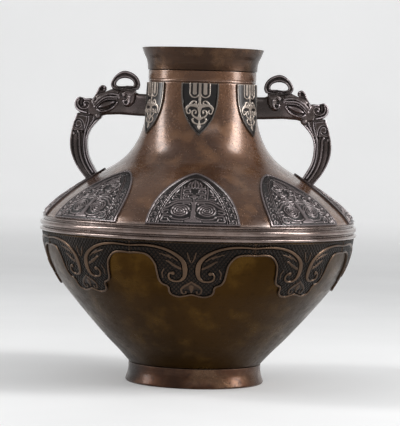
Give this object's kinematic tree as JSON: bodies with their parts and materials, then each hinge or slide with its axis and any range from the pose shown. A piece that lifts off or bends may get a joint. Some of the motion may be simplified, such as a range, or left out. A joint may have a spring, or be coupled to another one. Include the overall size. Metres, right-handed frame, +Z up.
{
  "type": "bronze vase",
  "caption": "Cast bronze vase with a flared mouth, wide sloping shoulder, tapering bowl, foot ring and beast-head loop handles, dressed with raised leaf, lappet and cloud-collar panels",
  "frame": {"origin": "middle of the foot ring's underside, on the surface that the vase stands on", "axes": "+Z up along the vase's axis, the handles at +X and -X, the front face towards -Y"},
  "size_m": [0.3332, 0.3332, 0.35],
  "materials": {
    "brown_bronze": "polished brown patina",
    "worn_bronze": "rubbed pale patina",
    "golden_bronze": "brushed golden brown patina",
    "foot_bronze": "mottled brown patina",
    "relief_bronze": "dark patina with rubbed ridges",
    "handle_bronze": "dark patina with rubbed ridges"
  },
  "bodies": {
    "root": {"mouth_rim": "brown_bronze", "upper_shell": "brown_bronze", "shoulder_band": "worn_bronze", "lower_shell": "golden_bronze", "foot_ring": "foot_bronze", "base_plate": "foot_bronze", "handle_right": "handle_bronze", "handle_left": "handle_bronze", "neck_leaf_1": "relief_bronze", "neck_leaf_2": "relief_bronze", "neck_leaf_3": "relief_bronze", "neck_leaf_4": "relief_bronze", "neck_leaf_5": "relief_bronze", "neck_leaf_6": "relief_bronze", "shoulder_lappet_1": "relief_bronze", "shoulder_lappet_2": "relief_bronze", "shoulder_lappet_3": "relief_bronze", "shoulder_lappet_4": "relief_bronze", "shoulder_lappet_5": "relief_bronze", "shoulder_lappet_6": "relief_bronze", "shoulder_lappet_7": "relief_bronze", "shoulder_lappet_8": "relief_bronze", "collar_lobe_1": "relief_bronze", "collar_lobe_2": "relief_bronze", "collar_lobe_3": "relief_bronze", "collar_lobe_4": "relief_bronze", "collar_lobe_5": "relief_bronze", "collar_lobe_6": "relief_bronze", "collar_lobe_7": "relief_bronze", "collar_lobe_8": "relief_bronze"}
  },
  "joints": []
}
